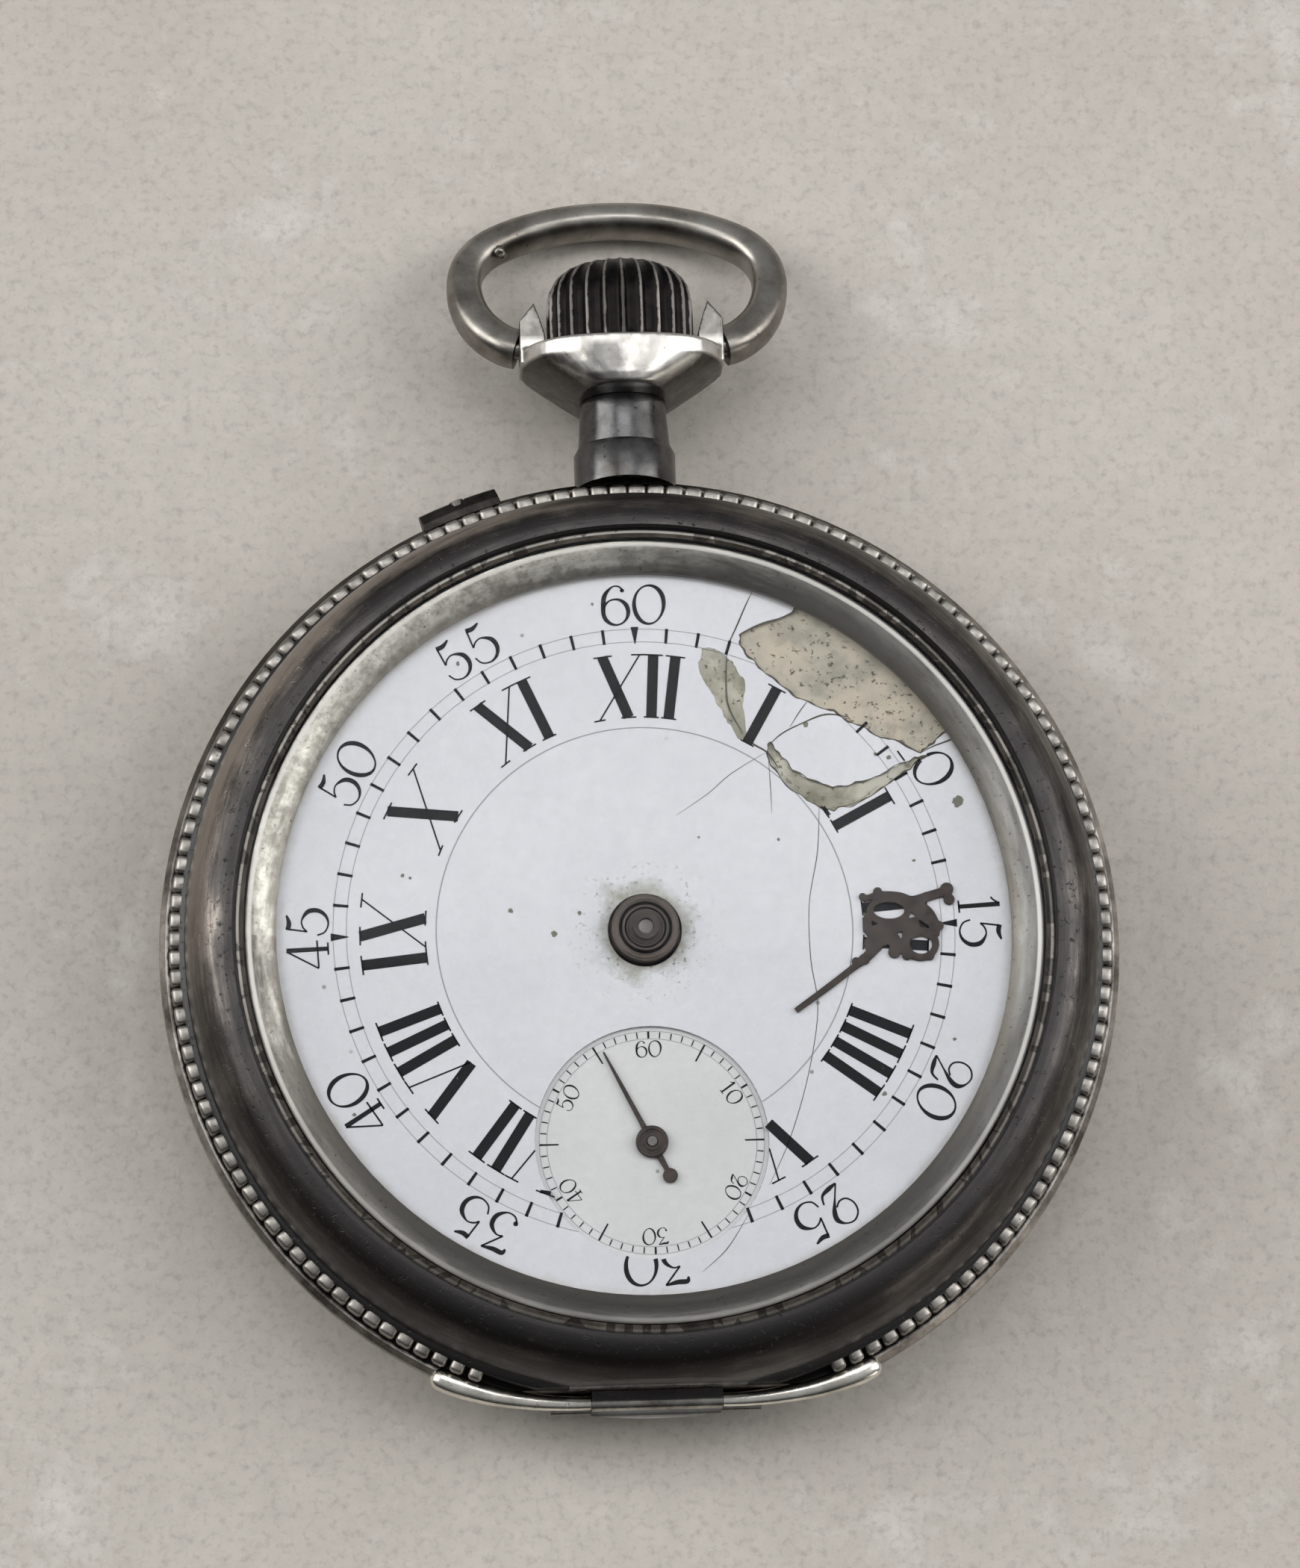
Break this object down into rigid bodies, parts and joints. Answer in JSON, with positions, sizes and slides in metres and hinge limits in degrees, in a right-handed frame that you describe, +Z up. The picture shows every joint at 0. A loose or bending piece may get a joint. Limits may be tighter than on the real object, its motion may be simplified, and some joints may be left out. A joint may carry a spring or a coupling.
{
  "type": "pocket watch",
  "caption": "Open-face pocket watch with hinged bezel, back and dust cover, pivoting bow, fluted winding crown, push-set piece and a complete geared lever movement under an enamel dial.",
  "frame": {"origin": "on the flat middle of the case back, under the centre arbor, on the surface the watch lies on", "axes": "+Z up out of the dial, +Y towards 12 o'clock and the crown, +X towards 3 o'clock"},
  "size_m": [0.051, 0.0679, 0.0124],
  "materials": {
    "tarnished_silver": "tarnished polished silver with brown patina",
    "polished_silver": "worn polished silver",
    "satin_silver": "satin grey silver",
    "hinge_steel": "dark steel pin",
    "crystal_glass": "clear domed watch glass",
    "black_crown": "black oxidised silver with worn ribs",
    "white_enamel": "white fired enamel",
    "grey_enamel": "off-white fired enamel",
    "gilt_brass": "frosted gilt brass",
    "nickel": "nickel-plated brass, brushed",
    "blued_steel": "blued steel",
    "bright_steel": "polished steel",
    "ruby": "synthetic ruby",
    "rusted_steel": "brown rusted steel"
  },
  "bodies": {
    "root": {"case_middle": "tarnished_silver", "hinge_bracket": "polished_silver", "cuvette_hinge_lugs": "satin_silver", "bezel_hinge_pin": "hinge_steel", "back_hinge_pin": "hinge_steel", "cuvette_hinge_pin": "hinge_steel", "pendant_neck": "tarnished_silver", "pendant_head": "polished_silver", "bow_pins": "hinge_steel", "pusher_guard": "polished_silver", "pusher_spring": "bright_steel", "dial_ring": "polished_silver", "dial": "white_enamel", "seconds_dial": "grey_enamel", "main_plate": "gilt_brass", "barrel_bridge": "nickel", "train_bridge": "nickel", "escape_cock": "nickel", "pallet_cock": "nickel", "balance_cock": "nickel", "bridge_screws": "blued_steel", "train_jewels": "ruby", "crown_wheel_stud": "blued_steel", "click_spring": "bright_steel", "hairspring": "blued_steel", "minute_hand_fragment": "rusted_steel"},
    "front_bezel": {"bezel": "tarnished_silver", "crystal": "crystal_glass"},
    "back_lid": {"case_back": "satin_silver"},
    "dust_cover": {"cuvette": "satin_silver"},
    "bow_ring": {"bow": "satin_silver"},
    "winding_crown": {"crown": "black_crown", "winding_stem": "bright_steel", "winding_pinion": "bright_steel"},
    "crown_gear": {"crown_wheel": "bright_steel"},
    "ratchet_group": {"barrel_arbor": "bright_steel", "ratchet_wheel": "bright_steel", "ratchet_screw": "blued_steel"},
    "barrel_group": {"barrel_drum": "gilt_brass", "barrel_cover": "gilt_brass", "mainspring": "blued_steel"},
    "push_piece": {"setting_pusher": "polished_silver"},
    "click_lever": {"click": "bright_steel"},
    "regulator_lever": {"regulator": "bright_steel"},
    "fourth_group": {"fourth_wheel": "gilt_brass", "fourth_pinion": "bright_steel", "seconds_hand": "rusted_steel"},
    "third_group": {"third_wheel": "gilt_brass", "third_pinion": "bright_steel"},
    "centre_group": {"centre_wheel": "gilt_brass", "centre_arbor": "bright_steel"},
    "escape_group": {"escape_wheel": "gilt_brass", "escape_pinion": "bright_steel"},
    "pallet_group": {"pallet_fork": "bright_steel"},
    "balance_group": {"balance_wheel": "gilt_brass", "balance_staff": "bright_steel"},
    "cannon_group": {"cannon_pinion": "rusted_steel"},
    "minute_group": {"minute_wheel": "gilt_brass"},
    "hour_group": {"hour_wheel": "rusted_steel"}
  },
  "joints": [
    {"name": "bezel_open", "type": "hinge", "parent": "root", "child": "front_bezel", "pos_m": [0, -0.02425, 0.00525], "axis": [1, 0, 0], "range_deg": [0, 100]},
    {"name": "back_open", "type": "hinge", "parent": "root", "child": "back_lid", "pos_m": [0, -0.0245, 0.00395], "axis": [-1, 0, 0], "range_deg": [0, 100]},
    {"name": "cuvette_open", "type": "hinge", "parent": "root", "child": "dust_cover", "pos_m": [0, -0.02215, 0.003], "axis": [-1, 0, 0], "range_deg": [0, 80]},
    {"name": "bow_swing", "type": "hinge", "parent": "root", "child": "bow_ring", "pos_m": [0, 0.0332, 0.00505], "axis": [1, 0, 0], "range_deg": [-90, 136]},
    {"name": "crown_turn", "type": "hinge", "parent": "root", "child": "winding_crown", "pos_m": [0, 0.025, 0.00505], "axis": [0, 1, 0], "continuous": true},
    {"name": "crown_wheel_turn", "type": "hinge", "parent": "root", "child": "crown_gear", "pos_m": [0, 0.014, 0.0023], "axis": [0, 0, 1], "continuous": true},
    {"name": "ratchet_turn", "type": "hinge", "parent": "root", "child": "ratchet_group", "pos_m": [0.00722, 0.00722, 0.0023], "axis": [0, 0, 1], "continuous": true},
    {"name": "pusher_press", "type": "slide", "parent": "root", "child": "push_piece", "axis": [0.3502, -0.9367, 0], "range_m": [0, 0.0006], "stiffness_N_per_m": 300, "deforming": ["pusher_spring"]},
    {"name": "click_lift", "type": "hinge", "parent": "root", "child": "click_lever", "pos_m": [0.0148, 0.00561, 0.0023], "axis": [0, 0, -1], "range_deg": [0, 8], "stiffness_Nm_per_rad": 0.0002},
    {"name": "regulator_turn", "type": "hinge", "parent": "root", "child": "regulator_lever", "pos_m": [-0.011, -0.0036, 0.0023], "axis": [0, 0, 1], "range_deg": [-25, 25]},
    {"name": "seconds_turn", "type": "hinge", "parent": "root", "child": "fourth_group", "pos_m": [0, -0.0112, 0.005], "axis": [0, 0, 1], "continuous": true},
    {"name": "third_turn", "type": "hinge", "parent": "root", "child": "third_group", "pos_m": [0.00301, -0.00654, 0.005], "axis": [0, 0, 1], "continuous": true},
    {"name": "centre_turn", "type": "hinge", "parent": "root", "child": "centre_group", "pos_m": [0, 0, 0.005], "axis": [0, 0, 1], "continuous": true},
    {"name": "barrel_turn", "type": "hinge", "parent": "root", "child": "barrel_group", "pos_m": [0.00722, 0.00722, 0.005], "axis": [0, 0, 1], "continuous": true},
    {"name": "escape_turn", "type": "hinge", "parent": "root", "child": "escape_group", "pos_m": [-0.0047, -0.00949, 0.005], "axis": [0, 0, 1], "continuous": true},
    {"name": "pallet_rock", "type": "hinge", "parent": "root", "child": "pallet_group", "pos_m": [-0.00741, -0.00799, 0.0052], "axis": [0, 0, 1], "range_deg": [-3, 3]},
    {"name": "balance_swing", "type": "hinge", "parent": "root", "child": "balance_group", "pos_m": [-0.011, -0.0036, 0.0047], "axis": [0, 0, 1], "range_deg": [-135, 135]},
    {"name": "cannon_turn", "type": "hinge", "parent": "root", "child": "cannon_group", "pos_m": [0, 0, 0.008], "axis": [0, 0, 1], "continuous": true},
    {"name": "minute_wheel_turn", "type": "hinge", "parent": "root", "child": "minute_group", "pos_m": [-0.00376, -0.00137, 0.0075], "axis": [0, 0, 1], "continuous": true},
    {"name": "hour_turn", "type": "hinge", "parent": "root", "child": "hour_group", "pos_m": [0, 0, 0.008], "axis": [0, 0, 1], "continuous": true}
  ],
  "couplings": [
    {"joint": "cuvette_open", "follows": "back_open", "ratio": 0.8},
    {"joint": "crown_wheel_turn", "follows": "crown_turn", "ratio": 0.5},
    {"joint": "ratchet_turn", "follows": "crown_turn", "ratio": -0.28571},
    {"joint": "third_turn", "follows": "seconds_turn", "ratio": -0.13333},
    {"joint": "centre_turn", "follows": "seconds_turn", "ratio": 0.016667},
    {"joint": "barrel_turn", "follows": "seconds_turn", "ratio": -0.0023148},
    {"joint": "escape_turn", "follows": "seconds_turn", "ratio": -10},
    {"joint": "minute_wheel_turn", "follows": "cannon_turn", "ratio": -0.33333},
    {"joint": "hour_turn", "follows": "cannon_turn", "ratio": 0.083333}
  ]
}
